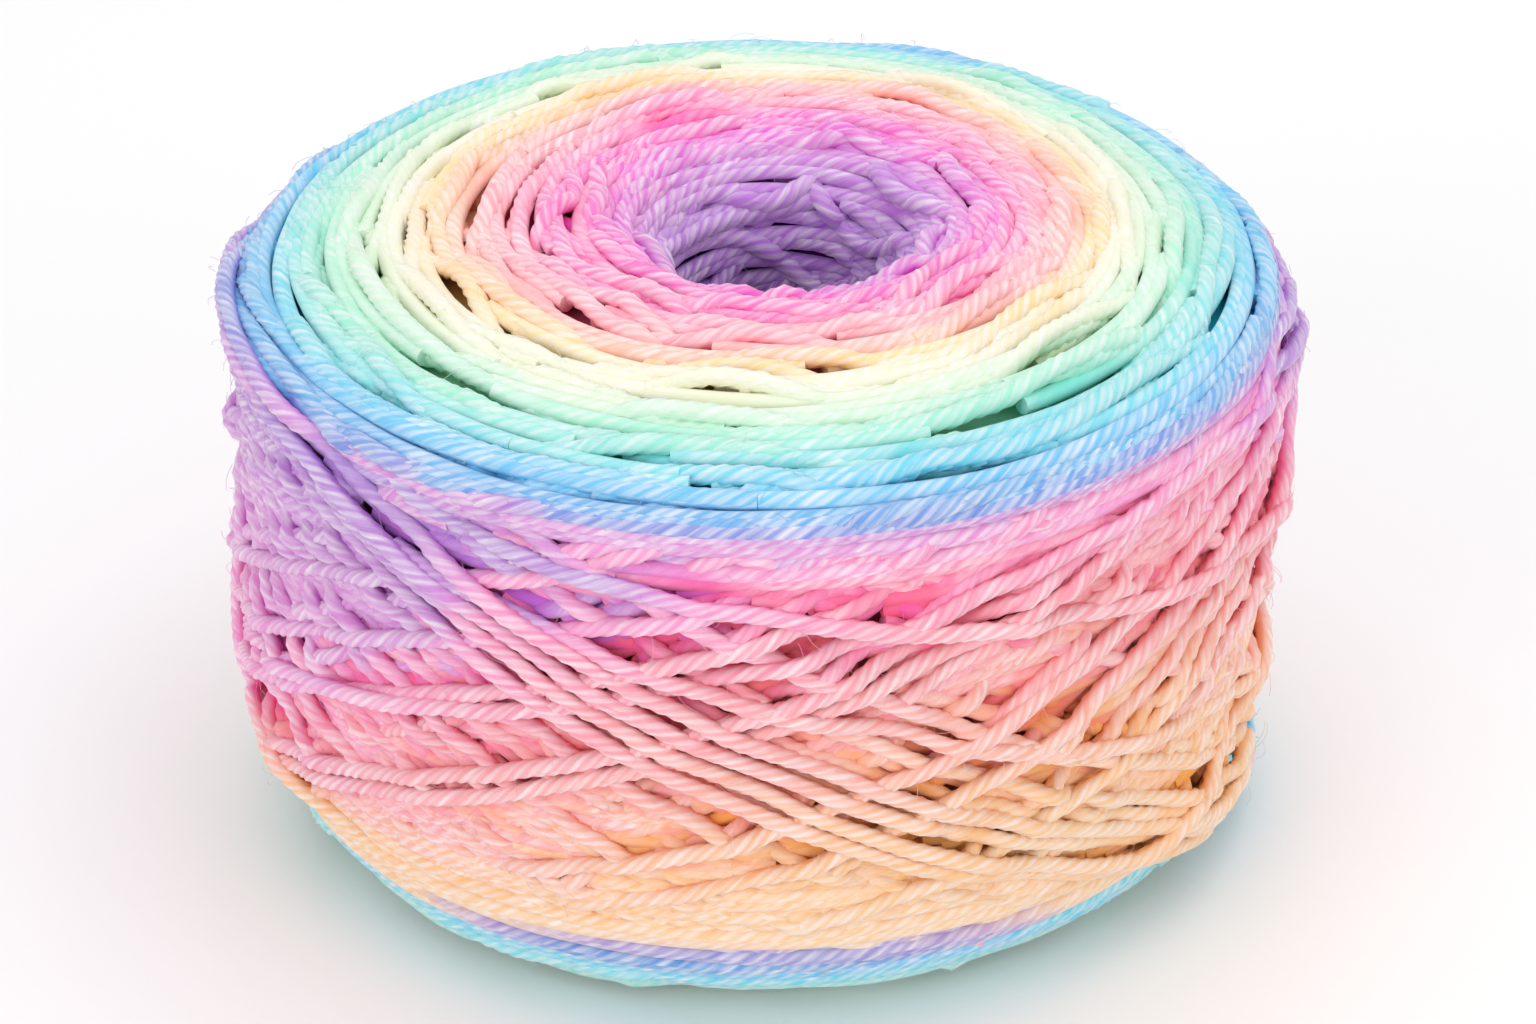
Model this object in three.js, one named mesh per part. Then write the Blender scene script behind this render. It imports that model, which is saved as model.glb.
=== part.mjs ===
// A yarn cake: one long strand of soft yarn, wound by a ball winder into a squat drum
// with a hole through its middle. Millimetres, +Z up. The origin is on the surface it
// rests on, below the middle of the drum. Azimuth 0 is the front, -Y, and grows toward +X.
import * as THREE from 'three';

// Driving sizes
const DIAMETER = 126.4;
const HEIGHT = 76.2;
const THROAT_RADIUS = 10.5;
const MOUTH_RADIUS = 22.5;
const MOUTH_DEPTH = 16;
const MOUTH_OFFSET = 3;
const CROWN_RADIUS = 57;
const CROWN_FALL = 5.8;
const REST_RADIUS = 42;
const FOOT_RADIUS = 15;
const FOOT_RISE = 3.5;

// The profile is the reach of the outermost wraps, and these are depths below it
const RING_GROOVE = 1.7;
const RING_DIVE = 0.5;
const RING_WANDER = 0.8;
const WRAP_BED = 3.1;
const INNER_WRAP = 1.4;
const INNER_WRAP_CHANGE = 0.5;
const FLANK_RINGS = 0.7;
const WRAP_BUNCH = 0.6;
const LOOP_DEPTH = 1.5;
const LOOPS = 11;
const SWELL = 0.35;

// The grid that the solid is made of: columns around, rows along the profile.
// On the side the rows are as far apart as the columns, as angles of one wrap's swing,
// so that the grid's diagonals are the wraps themselves.
const COLUMNS = 80;
const STEP = 360 / COLUMNS;
const THROAT_ROWS = 4;
const MOUTH_ROWS = 7;
const CROWN_ROWS = 19;
const SHOULDER_ROWS = 2;
const SIDE_ROWS = 34;
const FOOT_ROWS = 6;
const WRAP_SWING = 31;
const WRAP_MIDDLE = 36.5;

// The flank from the crown's edge down to where the cake rests
const FLANK = [
  { place: 'crown edge', radius: CROWN_RADIUS, height: HEIGHT - CROWN_FALL },
  { place: 'shoulder', radius: DIAMETER / 2 - 1.6, height: 67.2 },
  { place: 'widest', radius: DIAMETER / 2, height: 61 },
  { place: 'upper side', radius: DIAMETER / 2 - 0.1, height: 48 },
  { place: 'middle', radius: DIAMETER / 2 - 0.6, height: 34 },
  { place: 'lower side', radius: DIAMETER / 2 - 2.2, height: 19 },
  { place: 'turn under', radius: DIAMETER / 2 - 5.6, height: 7.6 },
  { place: 'near rest', radius: 51, height: 1.9 },
  { place: 'rest edge', radius: REST_RADIUS, height: 0 },
];

// Wraps cross the side both ways. Lean 1 climbs to the right and -1 falls to the right,
// and each wrap passes mid height at its azimuth in degrees. The outermost ones:
const OUTER_WRAPS = [
  { lean: -1, azimuth: -9, depth: 0.2 },
  { lean: -1, azimuth: 0, depth: 0 },
  { lean: -1, azimuth: 36, depth: 0.1 },
  { lean: -1, azimuth: 81, depth: 0.3 },
  { lean: -1, azimuth: 117, depth: 0.1 },
  { lean: -1, azimuth: 162, depth: 0.3 },
  { lean: -1, azimuth: -153, depth: 0.2 },
  { lean: -1, azimuth: -117, depth: 0 },
  { lean: -1, azimuth: -72, depth: 0.3 },
  { lean: 1, azimuth: -63, depth: 0.2 },
  { lean: 1, azimuth: -27, depth: 0 },
  { lean: 1, azimuth: 18, depth: 0.3 },
  { lean: 1, azimuth: 63, depth: 0.3 },
  { lean: 1, azimuth: 90, depth: 0 },
  { lean: 1, azimuth: 135, depth: 0.1 },
  { lean: 1, azimuth: 171, depth: 0.2 },
  { lean: 1, azimuth: -117, depth: 0.2 },
];
const WRAP_SPREAD = 7.5;
const INNER_WRAP_PITCH = 22.5;

const YARN = new THREE.MeshStandardMaterial({ color: 0xf0b9c4, roughness: 0.92, metalness: 0 });

const wave = (degrees) => Math.sin(THREE.MathUtils.degToRad(degrees));
const fraction = (index, count) => index / count;

// Rows of the profile, from the hole's foot up the throat, over the crown, down the side
function throatRows() {
  const rows = [];
  for (let i = 0; i < THROAT_ROWS; i += 1) {
    const height = THREE.MathUtils.lerp(FOOT_RISE, HEIGHT - MOUTH_DEPTH, fraction(i, THROAT_ROWS));
    rows.push({ kind: 'throat', radius: THROAT_RADIUS, height });
  }
  return rows;
}

function mouthRows() {
  const rows = [];
  for (let i = 0; i < MOUTH_ROWS; i += 1) {
    const turn = (Math.PI / 2) * fraction(i, MOUTH_ROWS);
    const radius = MOUTH_RADIUS - (MOUTH_RADIUS - THROAT_RADIUS) * Math.cos(turn);
    const height = HEIGHT - MOUTH_DEPTH * (1 - Math.sin(turn));
    rows.push({ kind: 'mouth', radius, height });
  }
  return rows;
}

function crownRows() {
  const rows = [];
  for (let i = 0; i < CROWN_ROWS; i += 1) {
    const out = fraction(i, CROWN_ROWS);
    const radius = THREE.MathUtils.lerp(MOUTH_RADIUS, CROWN_RADIUS, out);
    rows.push({ kind: 'ring', radius, height: HEIGHT - CROWN_FALL * out * out, sink: 0 });
  }
  return rows;
}

function flankRows() {
  const outline = new THREE.SplineCurve(FLANK.map((row) => new THREE.Vector2(row.radius, row.height)));
  outline.arcLengthDivisions = 2000;
  const length = outline.getLength();
  const lastSwing = (STEP * (SIDE_ROWS - 1)) / 2;
  const first = WRAP_MIDDLE - WRAP_SWING * wave(lastSwing);
  const last = WRAP_MIDDLE + WRAP_SWING * wave(lastSwing);
  const row = (kind, distance, swing = 0) => {
    const point = outline.getPointAt(distance / length);
    const sink = FLANK_RINGS * THREE.MathUtils.smoothstep(distance, 0, first);
    return { kind, radius: point.x, height: Math.max(point.y, 0), swing, sink };
  };
  const rows = [];
  for (let i = 0; i < SHOULDER_ROWS; i += 1) {
    rows.push(row('ring', first * fraction(i, SHOULDER_ROWS)));
  }
  for (let i = 0; i < SIDE_ROWS; i += 1) {
    const swing = lastSwing - STEP * i;
    rows.push(row('lattice', WRAP_MIDDLE - WRAP_SWING * wave(swing), swing));
  }
  for (let i = 1; i < FOOT_ROWS; i += 1) {
    rows.push(row('ring', THREE.MathUtils.lerp(last, length, fraction(i, FOOT_ROWS))));
  }
  return rows;
}

function flatRows() {
  return [
    { kind: 'flat', radius: REST_RADIUS, height: 0 },
    { kind: 'flat', radius: (REST_RADIUS + FOOT_RADIUS) / 2, height: 0 },
    { kind: 'flat', radius: FOOT_RADIUS, height: 0 },
  ];
}

// How deep a point of the grid lies below the profile, along the profile's normal
function wrapDepth(swing, azimuth) {
  let depth = WRAP_BED;
  const lay = (along, top) => {
    const away = Math.abs(THREE.MathUtils.euclideanModulo(along + 180, 360) - 180);
    if (away < WRAP_SPREAD) {
      depth = Math.min(depth, THREE.MathUtils.lerp(top, WRAP_BED, away / WRAP_SPREAD));
    }
  };
  for (const wrap of OUTER_WRAPS) {
    lay(azimuth - wrap.lean * swing - wrap.azimuth, wrap.depth);
  }
  for (const lean of [-1, 1]) {
    for (let start = 0; start < 360; start += INNER_WRAP_PITCH) {
      lay(azimuth - lean * swing - start, INNER_WRAP + INNER_WRAP_CHANGE * wave(137 * start * lean));
    }
  }
  // toward the shoulder and the foot the wraps bunch, so the beds between them fill up
  return depth * (1 - WRAP_BUNCH * THREE.MathUtils.smoothstep(Math.abs(swing), 40, 75));
}

function swell(row, azimuth) {
  const broad = wave(2 * azimuth + 40 + row.height);
  const narrow = wave(5 * azimuth - 3 * row.height);
  return SWELL * (0.6 * broad + 0.4 * narrow);
}

function depthBelow(row, index, column) {
  const azimuth = column * STEP;
  if (row.kind === 'ring') {
    const dive = RING_DIVE * (0.5 + 0.5 * wave(6 * azimuth + 137 * index));
    return dive + (index % 2 === 0 ? row.sink : RING_GROOVE) - swell(row, azimuth);
  }
  if (row.kind === 'lattice') {
    return wrapDepth(row.swing, azimuth) - swell(row, azimuth);
  }
  if (row.kind === 'mouth') {
    return LOOP_DEPTH * (0.5 + 0.5 * wave(LOOPS * azimuth + 48 * index));
  }
  return 0;
}

// Ring wraps wander in and out as they go around, each pair its own way, and so cross
function wander(row, index, column) {
  const pair = Math.floor(index / 2);
  return row.kind === 'ring' ? RING_WANDER * wave(4 * column * STEP + 180 * pair + 25 * index) : 0;
}

function cakePoints(rows) {
  const points = [];
  rows.forEach((row, index) => {
    const before = rows[Math.max(index - 1, 0)];
    const after = rows[Math.min(index + 1, rows.length - 1)];
    const along = new THREE.Vector2(after.radius - before.radius, after.height - before.height).normalize();
    const offset = MOUTH_OFFSET * (1 - THREE.MathUtils.smoothstep(row.radius, MOUTH_RADIUS, REST_RADIUS));
    for (let column = 0; column < COLUMNS; column += 1) {
      const away = -depthBelow(row, index, column);
      const aside = wander(row, index, column);
      const radius = row.radius - along.y * away + along.x * aside;
      const height = row.height + along.x * away + along.y * aside;
      const turn = THREE.MathUtils.degToRad(column * STEP);
      points.push(radius * Math.sin(turn) + offset, -radius * Math.cos(turn), Math.max(height, 0));
    }
  });
  return points;
}

// Two triangles for each cell, split along the wrap that crosses it
function cakeFaces(rowCount) {
  const faces = [];
  for (let index = 0; index < rowCount; index += 1) {
    const above = (index + 1) % rowCount;
    for (let column = 0; column < COLUMNS; column += 1) {
      const right = (column + 1) % COLUMNS;
      const a = index * COLUMNS + column;
      const b = index * COLUMNS + right;
      const c = above * COLUMNS + right;
      const d = above * COLUMNS + column;
      if ((index + column) % 2 === 0) {
        faces.push(a, c, b, a, d, c);
      } else {
        faces.push(a, d, b, b, d, c);
      }
    }
  }
  return faces;
}

function yarnCake() {
  const rows = [...throatRows(), ...mouthRows(), ...crownRows(), ...flankRows(), ...flatRows()];
  const geometry = new THREE.BufferGeometry();
  geometry.setAttribute('position', new THREE.Float32BufferAttribute(cakePoints(rows), 3));
  geometry.setIndex(cakeFaces(rows.length));
  geometry.computeVertexNormals();
  const mesh = new THREE.Mesh(geometry, YARN);
  mesh.name = 'yarn_cake';
  return mesh;
}

const cake = new THREE.Group();
cake.add(yarnCake());

export default cake;
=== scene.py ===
import math

import bmesh
import bpy
import numpy as np
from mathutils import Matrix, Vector


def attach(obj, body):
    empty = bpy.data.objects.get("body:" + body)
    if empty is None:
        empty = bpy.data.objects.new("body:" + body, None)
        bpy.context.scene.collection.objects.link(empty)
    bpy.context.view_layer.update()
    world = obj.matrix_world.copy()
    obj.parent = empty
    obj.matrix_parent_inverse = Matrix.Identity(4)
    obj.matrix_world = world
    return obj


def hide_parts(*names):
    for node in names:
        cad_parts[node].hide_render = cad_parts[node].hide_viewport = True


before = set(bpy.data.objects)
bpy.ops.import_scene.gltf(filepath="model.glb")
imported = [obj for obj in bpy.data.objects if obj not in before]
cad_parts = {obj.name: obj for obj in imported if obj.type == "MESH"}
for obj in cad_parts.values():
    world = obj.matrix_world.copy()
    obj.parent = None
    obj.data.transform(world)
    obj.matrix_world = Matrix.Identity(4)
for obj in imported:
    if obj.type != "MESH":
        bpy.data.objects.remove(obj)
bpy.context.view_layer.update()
SOLID = "yarn_cake"
MM = 0.001
TURN = 2 * math.pi
rng = np.random.default_rng(11)

# Lengths are in millimetres. A place on the cake's skin is its angle round the axis, with 0
# in front and growing to the right, and its distance along the profile, with 0 at the crown's
# edge. Sizes of the cake, close to those of the solid that the strands replace:
REACH = 62.5
HEIGHT = 76.2
THROAT_RADIUS = 10.5
MOUTH_RADIUS = 22.5
MOUTH_DEPTH = 16
MOUTH_OFFSET = 3
CROWN_RADIUS = 57
CROWN_FALL = 5.0
REST_RADIUS = 45
FOOT_RADIUS = 15
FOOT_RISE = 3.5
THROAT_SPLIT = 30
FLANK = (  # radius, height, from the crown's edge down to where the cake rests
    (CROWN_RADIUS, HEIGHT - CROWN_FALL),
    (REACH - 0.8, 68.0),
    (REACH, 61.5),
    (REACH - 0.1, 48),
    (REACH - 0.6, 34),
    (REACH - 1.6, 19),
    (REACH - 3.6, 7.4),
    (53.6, 1.6),
    (REST_RADIUS, 0),
)

# The yarn: half the thickness of each kind of strand, its plies and how much its thickness
# changes, as size, length and share of the strand's own start
SIDE_YARN = 1.07
CROWN_YARN = 1.22
MOUTH_YARN = 1.3
PLIES = 5
PLY_GROOVE = 0.17
PLY_PITCH = 9.5
TWIST_SIGN = -1
FLUFF = ((0.05, 5.3, 1), (0.03, 2.1, 2))

# How finely the profile and the skin are divided
PROFILE_POINTS = 60
PROFILE_EASE = 5
CELL = 0.5
COLUMNS = 900
COLUMN = TURN / COLUMNS

# How strands are laid. Bedding is a strand's rise over the mean of what is under it, as a
# share of its half thickness, and how far it sinks into the highest of what is under it.
LAY_STEP = 0.6
CHUNK = 240
LOOK_AHEAD = 20
TAUT_PASSES = 30
SIDE_BEDDING = (0.78, 0.85)
CROWN_BEDDING = (0.65, 1.0)
BEDDING_EASE = 9
FIRMNESS = 0.74
LIFT_EASE = 5
LIFT_CUT = 0.15
END_DIVE = 3.5
END_RUN = 14
NOWHERE = -99.0

# How the cake packs down. Evenness is how much of its bumps a place of the profile keeps.
BODY_DEPTH = 4.5
DEEPEST = -BODY_DEPTH - 2
SETTLED = 1.1
SETTLE_EVERY = 3
EVEN_WIDTH = 10
PROUD_PERCENT = 90
PROUD_EASE = 15
PROUDEST = 0.8
EVENNESS = (
    (-90, 0.7),
    (-30, 0.62),
    (-8, 0.55),
    (0, 0.45),
    (10, 0.5),
    (20, 0.85),
    (48, 0.85),
    (60, 0.5),
    (140, 0.5),
)

# The side: wraps that go round it tilted, so that each swings down and up the profile
WRAP_MIDDLE = 36.5
WRAP_SWING = 33
WRAP_WANDER = 0.9
WRAP_POINTS = 180
SWING_KNOTS = 2
WANDER_KNOTS = 3
BACK = (0.7 * math.pi, 1.3 * math.pi)
INNER_LAYERS = 4
INNER_LAYER = dict(turns=24, swing_change=4.5, stray=3)
INNER_ADVANCE = 15.0
INNER_ADVANCE_CHANGE = 0.37
LAST_LAYER = dict(turns=41, first=0.4, advance=8.9, swing_change=3, stray=1.2)
MAIN_WRAP_POINTS = 240
MAIN_WRAPS = (  # lean, azimuth through its middle, middle along the profile, swing, from, to
    (1, -76, 36, 26, -150, -15),
    (1, -60, 37, 25, -140, 5),
    (1, -41, 36, 25, -120, 20),
    (1, -21, 38, 26, -100, 40),
    (1, -16, 38.5, 26, -95, 45),
    (1, 20, 36, 25, -40, 120),
    (1, 34, 36, 27, -30, 130),
    (1, 58, 37, 27, 0, 150),
    (1, -24, 31, 19, -85, 110),
    (-1, 24, 21, 11, -35, 140),
    (-1, 18, 34, 21, -60, 130),
    (-1, -9, 36.5, 31, -110, 100),
    (-1, -4, 36.5, 32, -100, 95),
    (-1, 1.5, 36.5, 31, -105, 110),
    (-1, 7, 36.5, 32, -95, 100),
    (1, 110, 36, 28, 40, 200),
    (-1, 150, 36, 29, 70, 250),
    (1, 205, 37, 28, 120, 290),
    (-1, 240, 36, 30, 150, 330),
    (-1, 245, 36, 30, 160, 335),
)

# The crown, the mouth and the underside: strands that go round and sway in and out. Waves
# are how many there are to a turn and how far each sways, and all start at random angles.
SPIRAL_POINTS = 200
STARTS = 6
SPIRAL_PULL = 1 / 40
SWELL = 0.5
SWELL_RATE = 0.31
CROWN_FROM = 22
CROWN_TO = 5
CROWN_PITCH = 1.3
CROWN_WAVES = ((2.38, 1.3), (4.63, 1.2), (7.37, 0.7))
CROWN_LOWEST = -CROWN_YARN - 0.9
MOUTH_WAVES = ((1.37, 2.0), (2.63, 2.6), (4.41, 1.2))
MOUTH_WALL = (-76, -48, 3.0, -MOUTH_YARN - 1.2)
MOUTH_RIM = (-50, 1.7, -MOUTH_YARN - 0.8)
BASE_FROM = 112
BASE_TO = 72
BASE_PITCH = 2.1
BASE_WAVES = ((2.4, 0.5), (5.3, 0.3))
BASE_LOWEST = -CROWN_YARN - 0.6

# The turns beneath, which only close the gaps
BENEATH_SPACING = 4.6
BENEATH_DEPTH = 3.6
BENEATH_SPREAD = 0.6
BENEATH_TURN_DEPTH = 1.4
RINGS_BENEATH = (-76, 111, 2.0)
RING_SWAY = 0.6
RING_WAVES = 3
RING_START = 1.7
CROWN_RINGS_END = 2
CROWN_RING_DEPTH = 3.0
RING_DEPTH = 3.7

# What counts as seen of a strand: the share of its half thickness that is tested, how far
# that has to stand over the other strands, and how much is kept on either side of it
SEEN_ABOVE = (0.25, -0.12, 3.0)
SEEN_BENEATH = (0.5, 0.1, 1.8)
SHORTEST_RUN = 6
SHELTER = 5
DEEP_EASE = 5
DEEPLY_SHADED = 3.0
SIDE_UNDER_FROM = 1.9
OFFSETS = 999

# How finely strands are spun, and how much of them goes into one piece
STEP = PLY_PITCH / (2 * PLIES)
HIDDEN_SIDES = 8
HIDDEN_STEPS = {"base": 2.0, "side_under": 2.0, "under_rings": 2.6, "under_wraps": 2.6}
PIECE_LENGTH = 7600
ROW_SPARE = 3
ROW_MARGIN = 0.06
STRAND_UNIT = 100
# Painted shade on a strand's sides: where it starts, as a share of the half thickness out from the middle,
# and over how much it grows to full
CREVICE_FROM = 0.5
CREVICE_WIDTH = 0.8

# Loose fibres
HAIRS = 3200
HAIR = 0.026
HAIR_SIDES = 3
HAIR_STEP = 0.6
HAIR_POINTS = 6
HAIR_LENGTH = (1.2, 3.6)
HAIR_BEND = 0.9
HAIR_RISE = (0.3, 1.3)
HAIR_ARCH = (0.5, 0.8)
HAIR_ARCH_START = 0.08
HAIR_ROOT = 0.85

# The core under the strands
CORE_INSET = 5.6
CORE_LOWEST = 0.8
CORE_ROWS = 4
CORE_STEPS = 96
CORE_HOLE = 20

# Dyes along the profile, from the throat over the crown and down to the base, each by its distance
# from the crown's edge and its colour. The stops deepest in the throat and at the foot are darkened as
# painted shade.
DYES_AND_SHADE = (
    # The deepest stop is the throat's purple dye darkened: painted shade deep in the hole
    (-80, "#693e8a"),
    (-52, "#b082cc"),
    (-44, "#c592d4"),
    (-39, "#d88acd"),
    (-37, "#e282d0"),
    (-35, "#ee80c8"),
    (-33, "#f6a0cc"),
    (-30, "#f9b6ca"),
    (-26, "#fac2c2"),
    (-23, "#fad2b8"),
    (-21, "#f8deb0"),
    (-18.5, "#f3ecd8"),
    (-16, "#e4eed6"),
    (-12, "#ccecd8"),
    (-9, "#b0e6d2"),
    (-3, "#8cd4e4"),
    (0, "#88c9ea"),
    (3.6, "#80b2de"),
    (5.6, "#8c9cd4"),
    (7.4, "#ba92cc"),
    (9.6, "#dca0d0"),
    (11, "#efacd0"),
    (16, "#f0a6c2"),
    (23, "#f1acb8"),
    (33, "#f3b6b4"),
    (41, "#f3beae"),
    (47, "#f5c8a8"),
    (54, "#f4caa2"),
    (59.5, "#f2d2b0"),
    # From here to the foot the violet and blue dyes are darkened: painted shade where the cake turns under
    (61.5, "#ae9aca"),
    (63.5, "#809ed2"),
    (67, "#7eb8de"),
)
DYE_FIRST = DYES_AND_SHADE[0][0]
DYE_LAST = DYES_AND_SHADE[-1][0]
UNDERSIDE_RATE = -0.75
PINK_FROM = 8
PINK_SLOPE = 0.1
PINK_SPARE = 2
SIDE_LAST = 61
SIDE_LAST_DYE = 58.5
DYE_CHANGE = 3.2
DYE_SWELLS = ((2.4, 31, 1), (1.5, 13, 2))
STEADY_SHARE = 0.25

# How the dyes slant in each zone of the profile. A zone is where it starts and over how
# far it comes in, and the others are drifts along the profile and turns round the cake.
FLANK_TOP = (8, 12)
FLANK_END = (SIDE_LAST, -7)
FLANK_SLANT = 35.8
FLANK_TURN = math.radians(60)
FLANK_DRIFT = 31
FOOT_ZONE = (52, 6)
FOOT_DRIFT = 1.5
FOOT_SLANT = 16
FOOT_MOST = 6
CROWN_ZONE = (2, -6)
CROWN_LEAN = 0.8
CROWN_SLANT = 2.6
MOUTH_ZONE = (-31, -4)
MOUTH_DRIFT = 4
MOUTH_SLANT = 2.6
MOUTH_TURN = math.radians(60)

# The finish: colours along and around a strand, with painted shade in its ply grooves and pale patches that
# paint a highlight on its crests, and the noises' sizes along and around it
PATCH_SIZE = (9.0, 5.0)
FIBRE_SIZE = (45.0, 42.0)
# Pale patches: random pale mottling, kept to the crests, where it is also a painted highlight
PALE_AND_HIGHLIGHT = (0.94, 0.9, 0.92, 1)
GROOVE_SHADE = 0.55
FIBRE_BUMP = 0.35
FIBRE_HEIGHT = 0.2 * MM

# The room and the camera, as it stood to the cake, in metres, watts, degrees and pixels
FLOOR_SIZE = 3.0
FLOOR_PAINT = (0.9, 0.9, 0.9, 1)
FLOOR_ROUGHNESS = 0.9
SKY_COLOUR = (1, 1, 1, 1)
SKY = 0.72
LAMP_TARGET = (0, 0, 0.04)
LAMPS = (  # name, place, size, power
    ("overhead", (0.1, 0.15, 0.9), 0.9, 3.4),
    ("front_left", (-0.7, -0.8, 0.4), 0.7, 3.4),
    ("front_right", (0.8, -0.7, 0.35), 0.7, 2.3),
)
IMAGE_WIDTH = 1536
IMAGE_MIDDLE = (768, 512)
CAKE_PIXEL = (757.5, 501.9)
FOCAL_PIXELS = 5138
SENSOR = 36
CAMERA_DISTANCE = 0.601
CAMERA_ELEVATION = 29.98
CAMERA_TARGET = 0.036
NEAREST_SEEN = 0.01


# The skin of the cake
def smooth_line(points, steps=40):
    """A line of points turned into a Catmull-Rom curve through them."""
    p = np.array(points, float)
    p = np.vstack([2 * p[0] - p[1], p, 2 * p[-1] - p[-2]])
    t = np.linspace(0, 1, steps, endpoint=False)[:, None]
    spans = []
    for a, b, c, d in zip(p, p[1:], p[2:], p[3:]):
        bend = (2 * a - 5 * b + 4 * c - d) * t**2
        spans.append(0.5 * (2 * b + (c - a) * t + bend + (3 * b - a - 3 * c + d) * t**3))
    return np.vstack(spans + [p[-2:-1]])


def cake_profile():
    """Distance, radius and height along the profile: up the throat, over the crown, down
    the side, in under the cake and up the throat again."""
    quarter = np.linspace(0, math.pi / 2, PROFILE_POINTS)
    out = np.linspace(0, 1, PROFILE_POINTS)
    mouth_floor = HEIGHT - MOUTH_DEPTH
    throat = np.column_stack([
        np.full(PROFILE_POINTS, THROAT_RADIUS),
        THROAT_SPLIT + (mouth_floor - THROAT_SPLIT) * out,
    ])
    mouth = np.column_stack([
        MOUTH_RADIUS - (MOUTH_RADIUS - THROAT_RADIUS) * np.cos(quarter),
        HEIGHT - MOUTH_DEPTH * (1 - np.sin(quarter)),
    ])
    crown = np.column_stack([
        MOUTH_RADIUS + (CROWN_RADIUS - MOUTH_RADIUS) * out,
        HEIGHT - CROWN_FALL * out**2,
    ])
    foot = ((FOOT_RADIUS, 0), (THROAT_RADIUS, FOOT_RISE), (THROAT_RADIUS, THROAT_SPLIT))
    before = np.vstack([throat[:-1], mouth[:-1], crown[:-1]])
    line = np.vstack([before, smooth_line(FLANK), foot])
    distance = np.concatenate([[0], np.cumsum(np.hypot(*np.diff(line, axis=0).T))])
    return distance - distance[len(before)], line[:, 0], line[:, 1]


def soften(values, width):
    """A moving average that keeps the ends in place."""
    kernel = np.ones(width) / width
    padded = np.concatenate([np.full(width, values[0]), values, np.full(width, values[-1])])
    return np.convolve(padded, kernel, "same")[width:-width]


def skin():
    """The rows of the skin: distance, radius, height, and the way out of the cake."""
    distance, radius, height = cake_profile()
    along = np.arange(distance[0], distance[-1], CELL)
    radius = soften(np.interp(along, distance, radius), PROFILE_EASE)
    level = soften(np.interp(along, distance, height), PROFILE_EASE)
    out = soften(-np.gradient(level, CELL), PROFILE_EASE)
    up = soften(np.gradient(radius, CELL), PROFILE_EASE)
    size = np.hypot(out, up)
    return along, radius, level, out / size, up / size


ALONG, RADIUS, LEVEL, OUT_R, OUT_Z = skin()


def distance_at(radius):
    """Distance along the profile of a radius on the crown."""
    crown = (ALONG < 0) & (RADIUS > THROAT_RADIUS + 0.1)
    return float(np.interp(radius, RADIUS[crown], ALONG[crown]))


def place(angle, along, lift):
    """Points in space, in metres, of places on the skin and their lift above it."""
    radius = np.interp(along, ALONG, RADIUS) + lift * np.interp(along, ALONG, OUT_R)
    height = np.interp(along, ALONG, LEVEL) + lift * np.interp(along, ALONG, OUT_Z)
    blend = np.clip((radius - MOUTH_RADIUS) / (REST_RADIUS - MOUTH_RADIUS), 0, 1)
    shift = MOUTH_OFFSET * (1 - blend * blend * (3 - 2 * blend))
    return MM * np.column_stack([radius * np.sin(angle) + shift, -radius * np.cos(angle), height])


def evened(field):
    """The mean of a field of heights over the cells around each cell."""
    window = 2 * EVEN_WIDTH
    for axis, mode in ((0, "wrap"), (1, "edge")):
        pads = [(0, 0), (0, 0)]
        pads[axis] = (EVEN_WIDTH, EVEN_WIDTH)
        sums = np.cumsum(np.pad(field, pads, mode), axis=axis)
        last = np.take(sums, np.arange(window, sums.shape[axis]), axis=axis)
        first = np.take(sums, np.arange(0, sums.shape[axis] - window), axis=axis)
        field = (last - first) / window
    return field


def cell_below(angle, along):
    """The column and the row of the skin's cells below those places, not yet kept inside."""
    column = np.round(angle / COLUMN).astype(int)
    row = np.round((along - ALONG[0]) / CELL).astype(int)
    return column, row


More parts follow.
